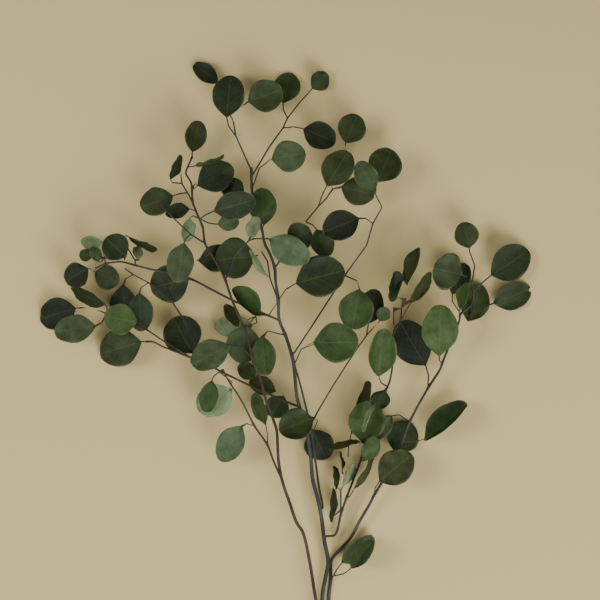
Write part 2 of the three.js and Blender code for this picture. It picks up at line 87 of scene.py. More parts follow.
def rimFrom(tip, edge, count):  # the rim's corners on one side, from the tip towards the stalk
    corners = [edge.other_vert(tip)]
    while len(corners) < count:
        edge = sharpest(corners[-1], notThis=edge)
        corners.append(edge.other_vert(corners[-1]))
    return corners


def readLeaf(tip):  # sections from stalk to tip, each as left, middle and right, or None
    if len(tip.link_edges) != 4:  # two rims and two midribs, above and below, meet in a tip
        return None
    edges = sorted(tip.link_edges, key=foldAngle)[-2:]
    ends = [edge.other_vert(tip) for edge in edges]
    tipWidth = (ends[0].co - ends[1].co).length
    if foldAngle(edges[0]) < leafReading["knifeEdge"] or tipWidth < leafReading["narrowestTip"]:
        return None
    lefts, rights = (rimFrom(tip, edge, leafReading["rimCorners"]) for edge in edges)
    sections = []
    for left, right in zip(reversed(lefts), reversed(rights)):
        nearLeft = {edge.other_vert(left) for edge in left.link_edges}
        nearRight = {edge.other_vert(right) for edge in right.link_edges}
        middles = [vert.co for vert in nearLeft & nearRight if vert is not tip]
        if not middles:  # a twig grows through the blade here
            middles = [left.co, right.co]
        sections.append((left.co.copy(), sum(middles, Vector()) / len(middles), right.co.copy()))
    left, middle, right = sections[1]
    if (right - left).cross(tip.co - middle).z < 0:
        sections = [(c, b, a) for a, b, c in sections]
    return {"sections": sections, "tip": tip.co.copy(), "rim": lefts + rights + [tip]}


def readLeaves(copy):  # from the top of the bunch down
    leaves = [readLeaf(vert) for vert in copy.verts]
    return sorted((leaf for leaf in leaves if leaf), key=lambda leaf: -leaf["tip"].y)


# leaf tones, as linear colours; the nearly black one is painted shade, and the dark ones partly so
leafTones = {
    # painted shade: nearly black, for leaves that lie in shade
    "shadowBlack": (0.0048, 0.0101, 0.0021),
    "dark": (0.0096, 0.0202, 0.0035),
    "blueDark": (0.0160, 0.0286, 0.0119),
    "mid": (0.0192, 0.0353, 0.0063),
    "olive": (0.0240, 0.0361, 0.0049),
    "green": (0.0208, 0.0504, 0.0063),
    "light": (0.0384, 0.0756, 0.0147),
    "grey": (0.0368, 0.0622, 0.0217),
    "blue": (0.0640, 0.1025, 0.0476),
    "silver": (0.1600, 0.2201, 0.1155),
}

# which leaf has which tone, in each sprig from its top down
toneOf = {
    "sprig_top_left": ["dark", "dark", "mid"],
    "sprig_top_right": ["mid", "mid", "shadowBlack"],
    "leaf_crown": ["grey"],
    "sprig_upper_middle": ["mid", "mid", "olive", "dark", "grey"],
    "sprig_upper_right": ["mid", "grey", "shadowBlack", "green"],
    "sprig_far_right": ["mid", "dark", "mid"],
    "leaves_right_edge": ["olive", "mid"],
    "leaves_right_fork": ["dark", "light"],
    "leaf_right_front": ["light"],
    "leaf_right_behind": ["shadowBlack"],
    "sprig_right_middle": ["mid", "dark", "olive"],
    "sprig_right_inner": ["light", "mid", "silver"],
    "leaves_right_twisted": ["green", "olive"],
    "leaf_right_back": ["light"],
    "leaf_right_upright": ["olive"],
    "leaf_right_half_moon": ["green"],
    "leaf_right_olive": ["olive"],
    "leaf_right_shaded": ["mid"],
    "leaf_right_grey": ["grey"],
    "leaves_low_right": ["grey", "green"],
    "sprig_low_middle": ["olive", "mid", "silver", "olive", "dark"],
    "sprig_middle": ["dark", "grey"],
    "leaf_middle_front": ["green"],
    "leaf_middle_upper": ["dark"],
    "leaf_middle_folded": ["mid"],
    "leaf_middle_lower": ["shadowBlack"],
    "sprig_middle_behind": ["mid", "olive", "green"],
    "sprig_front": ["silver", "blue"],
    "sprig_inner": ["mid", "silver"],
    "leaf_inner_behind": ["dark"],
    "leaves_inner_upper": ["dark", "green"],
    "leaf_left_top": ["olive"],
    "sprig_left_top": ["dark", "grey", "mid"],
    "leaf_left_blue": ["blueDark"],
    "leaves_left_silver": ["blueDark", "shadowBlack", "grey", "silver"],
    "sprig_left_front": ["grey"],
    "leaves_far_left_tip": ["shadowBlack", "mid"],
    "sprig_far_left_top": ["dark", "silver", "grey", "olive"],
    "leaves_left_rolled": ["silver", "dark"],
    "leaf_left_large": ["dark"],
    "sprig_left_cross": ["blueDark", "blueDark"],
    "leaf_left_shaded": ["dark"],
    "sprig_left_upper": ["dark", "light", "shadowBlack", "grey"],
    "leaf_left_end": ["mid"],
    "leaves_left_fork_tip": ["silver", "green"],
    "leaf_left_hanging": ["blue"],
    "leaf_left_edge": ["grey"],
    "leaf_left_cover": ["grey"],
    "leaf_left_green": ["green"],
    "leaf_left_folded": ["green"],
    "sprig_behind_left": ["olive", "silver", "grey"],
}


def socketGroup(name, inputs, outputs):
    group = bpy.data.node_groups.new(name, "ShaderNodeTree")
    for direction, sockets in (("INPUT", inputs), ("OUTPUT", outputs)):
        for socketName, kind, value in sockets:
            socket = group.interface.new_socket(socketName, in_out=direction, socket_type=kind)
            if value is not None:
                socket.default_value = value
    return group, group.nodes.new("NodeGroupInput"), group.nodes.new("NodeGroupOutput")


def addNode(tree, kind, values=None, **settings):
    node = tree.nodes.new(kind)
    for key, value in settings.items():
        setattr(node, key, value)
    for key, value in (values or {}).items():
        node.inputs[key].default_value = value
    return node


def mathNode(tree, operation, first, second=None, clamp=False):
    node = addNode(tree, "ShaderNodeMath", operation=operation, use_clamp=clamp)
    for index, value in enumerate((first, second)):
        if value is None:
            continue
        if isinstance(value, (int, float)):
            node.inputs[index].default_value = value
        else:
            tree.links.new(value, node.inputs[index])
    return node.outputs[0]


def mixColour(tree, blend, factor, first, second):
    node = addNode(tree, "ShaderNodeMix", data_type="RGBA", blend_type=blend)
    for index, value in ((0, factor), (6, first), (7, second)):  # where its colours go in
        if isinstance(value, (int, float, tuple)):
            node.inputs[index].default_value = value
        else:
            tree.links.new(value, node.inputs[index])
    return node.outputs[2]


veinPattern = {
    "sideVeins": 7.0,         # how closely side veins follow one another
    "riseCurve": 0.85,        # they rise towards the rim, by this much and along this curve
    "rise": 0.75,
    "wobble": 0.35,
    "wobbleScale": 2.2,
    "wobbleDetail": 2.0,
    "sideSharpness": 14.0,
    "midribSharpness": 22.0,
    "netScale": 22.0,
    "netSharpness": 9.0,
}


def makeVeinGroup():  # midrib, side veins and a fine net, from a blade's own map
    group, given, result = socketGroup(
        "leafVeins",
        [("UV", "NodeSocketVector", None),
         ("Side veins", "NodeSocketFloat", veinPattern["sideVeins"])],
        [("Veins", "NodeSocketFloat", None), ("Net", "NodeSocketFloat", None)])
    centred = addNode(group, "ShaderNodeMapping", {"Location": (-1, -1, 0), "Scale": (2, 2, 1)})
    group.links.new(given.outputs["UV"], centred.inputs["Vector"])
    wobble = addNode(group, "ShaderNodeTexNoise", {
        "Scale": veinPattern["wobbleScale"], "Detail": veinPattern["wobbleDetail"]})
    group.links.new(centred.outputs[0], wobble.inputs["Vector"])
    parts = addNode(group, "ShaderNodeSeparateXYZ")
    group.links.new(centred.outputs[0], parts.inputs[0])
    across = mathNode(group, "ABSOLUTE", parts.outputs["X"])
    bend = mathNode(group, "MULTIPLY", wobble.outputs[0], veinPattern["wobble"])
    curve = mathNode(group, "POWER", across, veinPattern["riseCurve"])
    slope = mathNode(group, "MULTIPLY", curve, veinPattern["rise"])
    level = mathNode(group, "ADD", mathNode(group, "SUBTRACT", parts.outputs["Y"], slope), bend)
    often = mathNode(group, "MULTIPLY", level, given.outputs["Side veins"])
    wave = mathNode(group, "PINGPONG", often, 1.0)
    crest = mathNode(group, "SUBTRACT", 1.0, wave)
    side = mathNode(group, "POWER", crest, veinPattern["sideSharpness"])
    fade = mathNode(group, "SUBTRACT", 1.0, across, clamp=True)
    side = mathNode(group, "MULTIPLY", side, fade)
    away = mathNode(group, "MULTIPLY", across, veinPattern["midribSharpness"])
    rib = mathNode(group, "SUBTRACT", 1.0, away, clamp=True)
    group.links.new(mathNode(group, "MAXIMUM", side, rib), result.inputs["Veins"])
    cells = addNode(group, "ShaderNodeTexVoronoi", {"Scale": veinPattern["netScale"]},
                    feature="DISTANCE_TO_EDGE")
    group.links.new(centred.outputs[0], cells.inputs["Vector"])
    inside = mathNode(group, "MULTIPLY", cells.outputs[0], veinPattern["netSharpness"])
    net = mathNode(group, "SUBTRACT", 1.0, inside, clamp=True)
    group.links.new(net, result.inputs["Net"])
    return group


mottlePattern = {
    "patchTint": (0.42, 0.45, 0.36, 1),  # a patch darkens its colour by this
    "cloudDetail": 4.0,
    "cloudRoughness": 0.6,
    "cloudRange": (0.35, 0.68),          # where in the noise a patch begins and is full
    "speckleScale": 900.0,
    "speckleDetail": 2.0,
    "speckleRange": (0.3, 0.7),
    "speckleShade": (0.86, 1.14),        # how dark and how light the speckle gets
}


def makeMottleGroup():  # cloudy dried patches and fine speckle
    group, given, result = socketGroup(
        "driedMottle",
        [("Colour", "NodeSocketColor", None), ("Patches", "NodeSocketFloat", None),
         ("Patch scale", "NodeSocketFloat", None)],
        [("Colour", "NodeSocketColor", None), ("Cloud", "NodeSocketFloat", None)])
    place = addNode(group, "ShaderNodeTexCoord")
    cloud = addNode(group, "ShaderNodeTexNoise", {
        "Detail": mottlePattern["cloudDetail"], "Roughness": mottlePattern["cloudRoughness"]})
    group.links.new(place.outputs["Object"], cloud.inputs["Vector"])
    group.links.new(given.outputs["Patch scale"], cloud.inputs["Scale"])
    speckle = addNode(group, "ShaderNodeTexNoise", {
        "Scale": mottlePattern["speckleScale"], "Detail": mottlePattern["speckleDetail"]})
    group.links.new(place.outputs["Object"], speckle.inputs["Vector"])
    faintest, fullest = mottlePattern["cloudRange"]
    spread = addNode(group, "ShaderNodeMapRange", {"From Min": faintest, "From Max": fullest})
    group.links.new(cloud.outputs[0], spread.inputs["Value"])
    amount = mathNode(group, "MULTIPLY", spread.outputs[0], given.outputs["Patches"])
    darker = mixColour(group, "MULTIPLY", amount, given.outputs["Colour"],
                       mottlePattern["patchTint"])
    grainy = addNode(group, "ShaderNodeMapRange", {
        "From Min": mottlePattern["speckleRange"][0], "From Max": mottlePattern["speckleRange"][1],
        "To Min": mottlePattern["speckleShade"][0], "To Max": mottlePattern["speckleShade"][1]})
    group.links.new(speckle.outputs[0], grainy.inputs["Value"])
    scaled = addNode(group, "ShaderNodeVectorMath", operation="SCALE")
    group.links.new(darker, scaled.inputs[0])
    group.links.new(grainy.outputs[0], scaled.inputs["Scale"])
    group.links.new(scaled.outputs[0], result.inputs["Colour"])
    group.links.new(spread.outputs[0], result.inputs["Cloud"])
    return group


veinGroup = makeVeinGroup()
mottleGroup = makeMottleGroup()

# what differs between a leaf's face and its back, and what both share
leafFinish = {
    "face": {
        "roughness": (0.52, 0.7),   # where it is clear and where it is patched
        "veinTint": (0.14, 0.19, 0.07, 1),
        "veinShare": 0.2,
        "netShare": 0.05,
        "patches": 0.95,
        "paler": 0.0,
    },
    "back": {
        "roughness": (0.64, 0.82),
        "veinTint": (0.24, 0.28, 0.17, 1),
        "veinShare": 0.35,
        "netShare": 0.1,
        "patches": 0.35,
        "paler": 0.42,
    },
}
leafSurface = {
    "specular": 0.24,
    "paleBloom": (0.17, 0.21, 0.145, 1),
    # painted highlight: the pale colour of each blade's rim
    "rimHighlightColour": (0.10, 0.11, 0.055, 1),
    "patchScale": 75.0,
    "netHeight": 0.35,              # of a side vein's height
    "bump": 0.5,
    "bumpHeight": 0.3 * millimetre,
}


def makeLeafMaterial(name, finish):
    material = bpy.data.materials.new(name)
    material.use_nodes = True
    tree = material.node_tree
    shader = tree.nodes["Principled BSDF"]
    shader.inputs["Specular IOR Level"].default_value = leafSurface["specular"]
    tone = addNode(tree, "ShaderNodeAttribute", attribute_name="leafTone")
    blade = addNode(tree, "ShaderNodeUVMap", uv_map="blade")
    base = mixColour(tree, "MIX", finish["paler"], tone.outputs["Color"], leafSurface["paleBloom"])
    mottle = addNode(tree, "ShaderNodeGroup", node_tree=mottleGroup)
    mottle.inputs["Patches"].default_value = finish["patches"]
    mottle.inputs["Patch scale"].default_value = leafSurface["patchScale"]
    tree.links.new(base, mottle.inputs["Colour"])
    veins = addNode(tree, "ShaderNodeGroup", node_tree=veinGroup)
    tree.links.new(blade.outputs[0], veins.inputs["UV"])
    veinShare = mathNode(tree, "MULTIPLY", veins.outputs["Veins"], finish["veinShare"])
    netShare = mathNode(tree, "MULTIPLY", veins.outputs["Net"], finish["netShare"])
    veined = mixColour(tree, "MIX", mathNode(tree, "MAXIMUM", veinShare, netShare),
                       mottle.outputs["Colour"], finish["veinTint"])
    rimHighlightMask = addNode(tree, "ShaderNodeAttribute", attribute_name="leafRimHighlight")
    # painted highlight: a paler band round each blade's rim
    coloured = mixColour(tree, "MIX", rimHighlightMask.outputs["Fac"], veined, leafSurface["rimHighlightColour"])
    tree.links.new(coloured, shader.inputs["Base Color"])
    least, most = finish["roughness"]
    rough = addNode(tree, "ShaderNodeMapRange", {"To Min": least, "To Max": most})
    tree.links.new(mottle.outputs["Cloud"], rough.inputs["Value"])
    tree.links.new(rough.outputs[0], shader.inputs["Roughness"])
    netHeight = mathNode(tree, "MULTIPLY", veins.outputs["Net"], leafSurface["netHeight"])
    height = mathNode(tree, "ADD", veins.outputs["Veins"], netHeight)
    bump = addNode(tree, "ShaderNodeBump", {
        "Strength": leafSurface["bump"], "Distance": leafSurface["bumpHeight"]})
    tree.links.new(height, bump.inputs["Height"])
    tree.links.new(bump.outputs[0], shader.inputs["Normal"])
    return material


leafMaterials = {side: makeLeafMaterial("eucalyptusLeaf" + side.capitalize(), finish)
                 for side, finish in leafFinish.items()}

# what differs between the two barks, and what both share
barkFinishes = {
    "stem_dark": {
        "colour": (0.018, 0.019, 0.015, 1),
        "bloom": (0.085, 0.092, 0.088, 1),
        "share": 0.55,              # of bloom, where it is thickest
    },
    "stem_brown": {
        "colour": (0.030, 0.017, 0.010, 1),
        "bloom": (0.11, 0.075, 0.055, 1),
        "share": 0.5,
    },
}
barkSurface = {
    "specular": 0.3,
    "roughness": (0.55, 0.85),
    "streakStretch": 0.22,          # scale along the bunch, so streaks run lengthways
    "streakScale": 520.0,
    "streakDetail": 5.0,
    "streakRoughness": 0.65,
    "bloomScale": 34.0,
    "bloomDetail": 3.0,
    "bloomRange": (0.4, 0.66),
    "patches": 0.6,
    "patchScale": 240.0,
    "bump": 0.6,
    "bumpHeight": 0.4 * millimetre,
}


def makeBarkMaterial(name, finish):
    material = bpy.data.materials.new(name)
    material.use_nodes = True
    tree = material.node_tree
    shader = tree.nodes["Principled BSDF"]
    shader.inputs["Specular IOR Level"].default_value = barkSurface["specular"]
    place = addNode(tree, "ShaderNodeTexCoord")
    stretch = (1.0, barkSurface["streakStretch"], 1.0)
    stretched = addNode(tree, "ShaderNodeMapping", {"Scale": stretch})
    tree.links.new(place.outputs["Object"], stretched.inputs[0])
    streaks = addNode(tree, "ShaderNodeTexNoise", {
        "Scale": barkSurface["streakScale"], "Detail": barkSurface["streakDetail"],
        "Roughness": barkSurface["streakRoughness"]})
    tree.links.new(stretched.outputs[0], streaks.inputs["Vector"])
    patches = addNode(tree, "ShaderNodeTexNoise", {
        "Scale": barkSurface["bloomScale"], "Detail": barkSurface["bloomDetail"]})
    tree.links.new(place.outputs["Object"], patches.inputs["Vector"])
    faintest, fullest = barkSurface["bloomRange"]
    waxy = addNode(tree, "ShaderNodeMapRange", {
        "From Min": faintest, "From Max": fullest, "To Max": finish["share"]})
    tree.links.new(patches.outputs[0], waxy.inputs["Value"])
    base = mixColour(tree, "MIX", waxy.outputs[0], finish["colour"], finish["bloom"])
    mottle = addNode(tree, "ShaderNodeGroup", node_tree=mottleGroup)
    mottle.inputs["Patches"].default_value = barkSurface["patches"]
    mottle.inputs["Patch scale"].default_value = barkSurface["patchScale"]
    tree.links.new(base, mottle.inputs["Colour"])
    tree.links.new(mottle.outputs["Colour"], shader.inputs["Base Color"])
    least, most = barkSurface["roughness"]
    rough = addNode(tree, "ShaderNodeMapRange", {"To Min": least, "To Max": most})
    tree.links.new(streaks.outputs[0], rough.inputs["Value"])
    tree.links.new(rough.outputs[0], shader.inputs["Roughness"])
    bump = addNode(tree, "ShaderNodeBump", {
        "Strength": barkSurface["bump"], "Distance": barkSurface["bumpHeight"]})
    tree.links.new(streaks.outputs[0], bump.inputs["Height"])
    tree.links.new(bump.outputs[0], shader.inputs["Normal"])
    return material


barkMaterials = {}
for slotName, finish in barkFinishes.items():
    materialName = slotName.title().replace("_", "") + "Bark"
    barkMaterials[slotName] = makeBarkMaterial(materialName, finish)
print("materials made")


bladeShape = {
    "across": 18,                # faces across and along each blade
    "along": 22,
    "crowding": 1.25,            # above 1 they crowd beside the midrib
    "thickness": 0.35 * millimetre,
    "midribDepth": 0.3 * millimetre,
    "midribWidth": 1.0 * millimetre,
    "midribFade": 0.7,           # how much of its depth the midrib has lost at the tip
    "wedge": 1.7,                # how blunt the point is that a blade starts in
    "wave": 2.4 * millimetre,    # how far a blade's rim waves up and down
    "waveScale": 1.6,
    "crinkle": 0.25,             # finer waves, as a share of the large ones
    "crinkleScale": 5,
    "ragged": 0.035,             # how uneven its outline is, as a share of its width
    "raggedScale": 1.4,
    "fineRagged": 0.4,           # finer notches, as a share of the large ones
    "fineRaggedScale": 4.0,
    "highlightRimShare": 0.95,            # from here out to the rim the blade gets a painted highlight
    "rimHighlight": 0.35,             # how strong the painted rim highlight is, and how unevenly
    "rimHighlightUneven": 0.9,
    "rimHighlightScale": 2.3,
    "noiseStep": (7.31, 3.17, 1.93),
    "noiseSpan": (0, 50),        # each blade waves in its own way, from a draw in this range
    "shade": (0.88, 1.12),       # how much each blade's tone may differ
}
sectionShares = (0.12, 0.36, 0.66, 0.9)  # where along a blade its four sections lie
curveLimits = {
    "cupEnds": 0.05,             # nearer than this to either end, a blade's cup stays the same
    "chord": 0.05,               # a blade's direction is read from this far before and after
    "taperEnd": 0.05,            # nearer than this to the tip, its taper stays the same
    "rowEnd": 0.999,             # its rows are measured no farther out than this
    "middle": 0.001,             # nor closer to its middle than this
}


def smoothBetween(places, values, at):  # a smooth curve through values, and straight on past them
    index = max(0, min(len(places) - 2, sum(place <= at for place in places) - 1))
    slopes = []
    for i in (index, index + 1):
        a, b = max(i - 1, 0), min(i + 1, len(places) - 1)
        slopes.append((values[b] - values[a]) / (places[b] - places[a]))
    span = places[index + 1] - places[index]
    t = (at - places[index]) / span
    if t < 0 or t > 1:
        end = 0 if t < 0 else 1
        return values[index + end] + slopes[end] * (at - places[index + end])
    return (values[index] * (1 + 2 * t) * (1 - t) ** 2 + slopes[0] * span * t * (1 - t) ** 2
            + values[index + 1] * t * t * (3 - 2 * t) - slopes[1] * span * t * t * (1 - t))


def readCurves(leaf):  # midline, half-width and cup of a blade, each as a curve along it
    shares = sectionShares + (1.0,)
    middles = [middle for _, middle, _ in leaf["sections"]] + [leaf["tip"]]
    halves, cups = [], []
    for share, (left, middle, right) in zip(sectionShares, leaf["sections"]):
        arch = 4 * share * (1 - share)  # an oval's width here, squared
        halves.append((right - left) / (2 * math.sqrt(arch)))
        cups.append(((left + right) / 2 - middle) / arch)
    low, high = curveLimits["cupEnds"], 1 - curveLimits["cupEnds"]
    return {
        "middle": lambda share: smoothBetween(shares, middles, share),
        "half": lambda share: smoothBetween(sectionShares, halves, share),
        "cup": lambda share: smoothBetween(sectionShares, cups, max(low, min(share, high))),
    }


def placeOnBlade(u, v, curves, shift, width):  # u and v run from -1 to 1 over the blade
    across = u * math.sqrt(1 - v * v / 2)
    upward = v * math.sqrt(1 - u * u / 2)
    reach = math.hypot(across, upward)
    direction = Vector((across, upward, 0)) / max(reach, curveLimits["middle"])
    uneven = noise.noise(direction * bladeShape["raggedScale"] + shift)
    notches = noise.noise(direction * bladeShape["fineRaggedScale"] + shift)
    uneven += bladeShape["fineRagged"] * notches
    grow = 1 + bladeShape["ragged"] * uneven * reach
    share = max(0.0, min(0.5 + 0.5 * upward * grow, 1.0))
    row = math.sqrt(1 - min(curveLimits["rowEnd"], abs(upward)) ** 2)
    side = across * grow / row
    taper = bladeShape["wedge"] * math.sqrt(share / max(curveLimits["taperEnd"], 1 - share))
    narrow = taper / (1 + taper ** 4) ** 0.25  # the taper at first, then close to 1
    half, cup = curves["half"](share), curves["cup"](share)
    ahead = curves["middle"](min(share + curveLimits["chord"], 1))
    along = (ahead - curves["middle"](share - curveLimits["chord"])).normalized()
    face = half.cross(along).normalized()
    point = curves["middle"](share) + half * across * grow * narrow
    point += cup * (row * side * narrow) ** 2
    rib = math.exp(-(across * width / bladeShape["midribWidth"]) ** 2)
    rib *= 1 - bladeShape["midribFade"] * share
    large, small = bladeShape["waveScale"], bladeShape["crinkleScale"]
    wave = noise.noise(Vector((across * large, upward * large, 0)) + shift) * reach ** 2
    crinkle = noise.noise(Vector((across * small, upward * small, 0)) + shift)
    wave += bladeShape["crinkle"] * crinkle * reach ** 2
    point += face * (bladeShape["wave"] * wave - bladeShape["midribDepth"] * rib)
    # painted highlight: a patchy paler band towards the rim
    rimHighlight = max(0.0, reach - bladeShape["highlightRimShare"]) / (1 - bladeShape["highlightRimShare"])
    uneven = noise.noise(direction * bladeShape["rimHighlightScale"] - shift)
    rimHighlight *= bladeShape["rimHighlight"] + bladeShape["rimHighlightUneven"] * uneven
    return point, max(0.0, min(1.0, rimHighlight)), (0.5 + 0.5 * across, 0.5 + 0.5 * upward)


def addBlade(blades, leaf, tone, seed, layers):
    curves = readCurves(leaf)
    made = bmesh.ops.create_grid(blades, x_segments=bladeShape["across"],
                                 y_segments=bladeShape["along"], size=1.0)
    width = curves["half"](0.5).length
    shift = Vector([seed * step for step in bladeShape["noiseStep"]])
    for vert in made["verts"]:
        u = math.copysign(abs(vert.co.x) ** bladeShape["crowding"], vert.co.x)
        point, rimHighlight, place = placeOnBlade(u, vert.co.y, curves, shift, width)
        vert.co = point
        vert[layers["tone"]] = tone
        vert[layers["rim"]] = rimHighlight
        for loop in vert.link_loops:
            loop[layers["uv"]].uv = place


def finishPiece(mesh, name, materials, nodeName):
    data = bpy.data.meshes.new(name)
    mesh.to_mesh(data)
    mesh.free()
    for polygon in data.polygons:
        polygon.use_smooth = True
    piece = bpy.data.objects.new(name, data)
    bpy.context.scene.collection.objects.link(piece)
    for material in materials:
        data.materials.append(material)
    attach(piece, "root")
    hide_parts(nodeName)
    return piece


def makeBlades(nodeName, leaves):
    blades = bmesh.new()
    layers = {
        "uv": blades.loops.layers.uv.new("blade"),
        "tone": blades.verts.layers.float_color.new("leafTone"),
        # this layer carries the painted highlight along each blade's rim
        "rim": blades.verts.layers.float.new("leafRimHighlight"),
    }
    for index, leaf in enumerate(leaves):
        seed = random.Random(nodeName + str(index)).uniform(*bladeShape["noiseSpan"])
        shade = random.Random(nodeName + "shade" + str(index)).uniform(*bladeShape["shade"])
        tone = [channel * shade for channel in leafTones[toneOf[nodeName][index]]] + [1.0]
        addBlade(blades, leaf, tone, seed, layers)
    bothSides = [leafMaterials["face"], leafMaterials["back"]]
    piece = finishPiece(blades, nodeName + "_blades", bothSides, nodeName)
    solidify = piece.modifiers.new("thickness", "SOLIDIFY")
    solidify.thickness = bladeShape["thickness"]
    solidify.offset = 0
    solidify.material_offset = 1
    solidify.material_offset_rim = 0


stemShape = {
    "cadSides": 6,                   # each ring of a stem in the frame has this many corners
    "flat": math.radians(2),         # faces that differ by less are one flat end
    "branchFoot": 10 * millimetre,   # a foot this far above the cut ends is a branch's
    "sides": 14,
    "seam": (1, 0, 0.3),             # where the first ring's first corner points
    "step": 3.0 * millimetre,
    "nodeSwell": 0.5 * millimetre,   # how far a stem swells where a twig or a stalk leaves it
    "nodeReach": 3.2 * millimetre,
    "nodeEnd": 12.8 * millimetre,    # farther away than this it doesn't swell
    "mostSwell": 1.3,
    "knobbly": 0.12 * millimetre,
    "knobScale": 260,
    "fineKnobs": 0.6,                # finer knobs, as a share of the large ones
    "fineKnobScale": 800,
    "rounding": 0.3 * millimetre,    # at a cut end
    "sink": 1.1 * millimetre,        # how far a foot goes into its stem
}
stalkShape = {
    "widest": 2.2 * millimetre,      # farther from a blade's midline, a face is the blade's
    "longestEdge": 2.2 * millimetre,
    "splits": 4,                     # how many times longer edges are halved
    "mostCorners": 12,               # a hole with more corners isn't a stalk's end
    "midribDrop": 0.5 * millimetre,  # how far below its blade a stalk ends
    "endShare": 0.35,                # of its thickness, where it ends
    "footGap": 0.6 * millimetre,     # a foot's corners are this close to their stem, or closer
    "smoothing": 0.3,
}
stemNames = [name for name in frame["nodes"] if name.startswith(("stem_", "branch_"))]
leafyNames = [name for name in frame["nodes"] if name not in stemNames]
stemCopies = {name: mergedCopy(name) for name in stemNames}
stemTrees = {name: BVHTree.FromBMesh(copy) for name, copy in stemCopies.items()}


def nearestStem(point, leaveOut=()):
    found = [tree.find_nearest(point) for name, tree in stemTrees.items() if name not in leaveOut]
    return min(found, key=lambda hit: hit[3])


def capRing(copy):  # the corners of the flat end that is farthest from the cut ends
    cutEnds = Vector((0, cadLow.y, 0))
    far = max(copy.verts, key=lambda vert: (vert.co - cutEnds).length)
    for seed in far.link_faces:
        level = {seed}
        waiting = [seed]
        while waiting:
            face = waiting.pop()
            for other in {f for e in face.edges for f in e.link_faces} - level:
                if other.normal.angle(seed.normal) < stemShape["flat"]:
                    level.add(other)
                    waiting.append(other)
        corners = {vert for face in level for vert in face.verts}
        if len(corners) == stemShape["cadSides"]:
            return corners
    raise ValueError("no flat end found")


def readStem(name):  # centre and radius of each ring, from foot to top
    ring = capRing(stemCopies[name])
    seen = set(ring)
    rings = []
    while len(ring) == stemShape["cadSides"]:
        centre = sum((vert.co for vert in ring), Vector()) / len(ring)
        rings.append((centre, sum((vert.co - centre).length for vert in ring) / len(ring)))
        ring = {edge.other_vert(vert) for vert in ring for edge in vert.link_edges} - seen
        seen |= ring
    foot, radius = rings[-1]
    if foot.y > cadLow.y + stemShape["branchFoot"]:  # a branch starts inside its own stem
        rest = [vert.co for vert in stemCopies[name].verts if vert not in seen] or [foot]
        last = min(rest, key=lambda co: nearestStem(co, leaveOut=(name,))[3])
        hit, normal, _, _ = nearestStem(last, leaveOut=(name,))
        rings.append((hit - normal * stemShape["sink"], radius))
    return rings[::-1]


def tubeFrame(centre, along, across, radius):
    across = (across - along * across.dot(along)).normalized()
    upward = along.cross(across)
    turned = Matrix((across, upward, along)).transposed().to_4x4()
    return Matrix.Translation(centre) @ turned @ Matrix.Diagonal((radius, radius, 1, 1))


def makeStem(name):
    rings = readStem(name)
    lengths = [0.0]
    for (a, _), (b, _) in zip(rings, rings[1:]):
        lengths.append(lengths[-1] + (b - a).length)
    centres, radii = [c for c, _ in rings], [r for _, r in rings]
    count = int(lengths[-1] / stemShape["step"])
    path = [smoothBetween(lengths, centres, lengths[-1] * i / count) for i in range(count + 1)]
    widths = [smoothBetween(lengths, radii, lengths[-1] * i / count) for i in range(count + 1)]
    stem = bmesh.new()
    start = bmesh.ops.create_circle(stem, cap_ends=True, segments=stemShape["sides"], radius=1.0)
    ring = start["verts"]
    side = Vector(stemShape["seam"])
    placed = None
    for index, (point, width) in enumerate(zip(path, widths)):
        along = (path[min(index + 1, count)] - path[max(index - 1, 0)]).normalized()
        here = tubeFrame(point, along, side, width)
        side = here.col[0].xyz.normalized()
        change = here
        if placed is not None:
            border = [edge for vert in ring for edge in vert.link_edges
                      if all(end in ring for end in edge.verts)]
            grown = bmesh.ops.extrude_edge_only(stem, edges=list(dict.fromkeys(border)))
            ring = [item for item in grown["geom"] if isinstance(item, bmesh.types.BMVert)]
            change = here @ placed.inverted()
        bmesh.ops.transform(stem, verts=ring, matrix=change)
        placed = here
    bmesh.ops.holes_fill(stem, edges=[e for e in stem.edges if e.is_boundary], sides=0)
    bmesh.ops.recalc_face_normals(stem, faces=stem.faces)
    stem.normal_update()
    moves = []
    for vert in stem.verts:
        away = [(vert.co - foot).length for foot in stalkFeet]
        swell = sum(math.exp(-(length / stemShape["nodeReach"]) ** 2)
                    for length in away if length < stemShape["nodeEnd"])
        rough = noise.noise(vert.co * stemShape["knobScale"])
        rough += stemShape["fineKnobs"] * noise.noise(vert.co * stemShape["fineKnobScale"])
        thicker = stemShape["nodeSwell"] * min(swell, stemShape["mostSwell"])
        moves.append(vert.normal * (thicker + stemShape["knobbly"] * rough))
    for vert, move in zip(stem.verts, moves):
        vert.co += move
    caps = [face for face in stem.faces if len(face.verts) > 4]  # its two cut ends
    rims = list(dict.fromkeys(edge for face in caps for edge in face.edges))
    bmesh.ops.bevel(stem, geom=rims, offset=stemShape["rounding"], segments=2, profile=0.5,
                    affect="EDGES", material=-1)
    slotName = slotOf[name]
    finishPiece(stem, name + "_wood", [barkMaterials[slotName]], name)


def onBlade(face, leaves):  # whether a face lies in a blade, off its midrib
    centre = face.calc_center_median()
    for leaf in leaves:
        for left, _, right in leaf["sections"]:
            half = (right - left) / 2
            away = centre - (left + right) / 2
            sideways = away.dot(half) / half.length
            if away.length < half.length and abs(sideways) > stalkShape["widest"]:
                return True
    return False


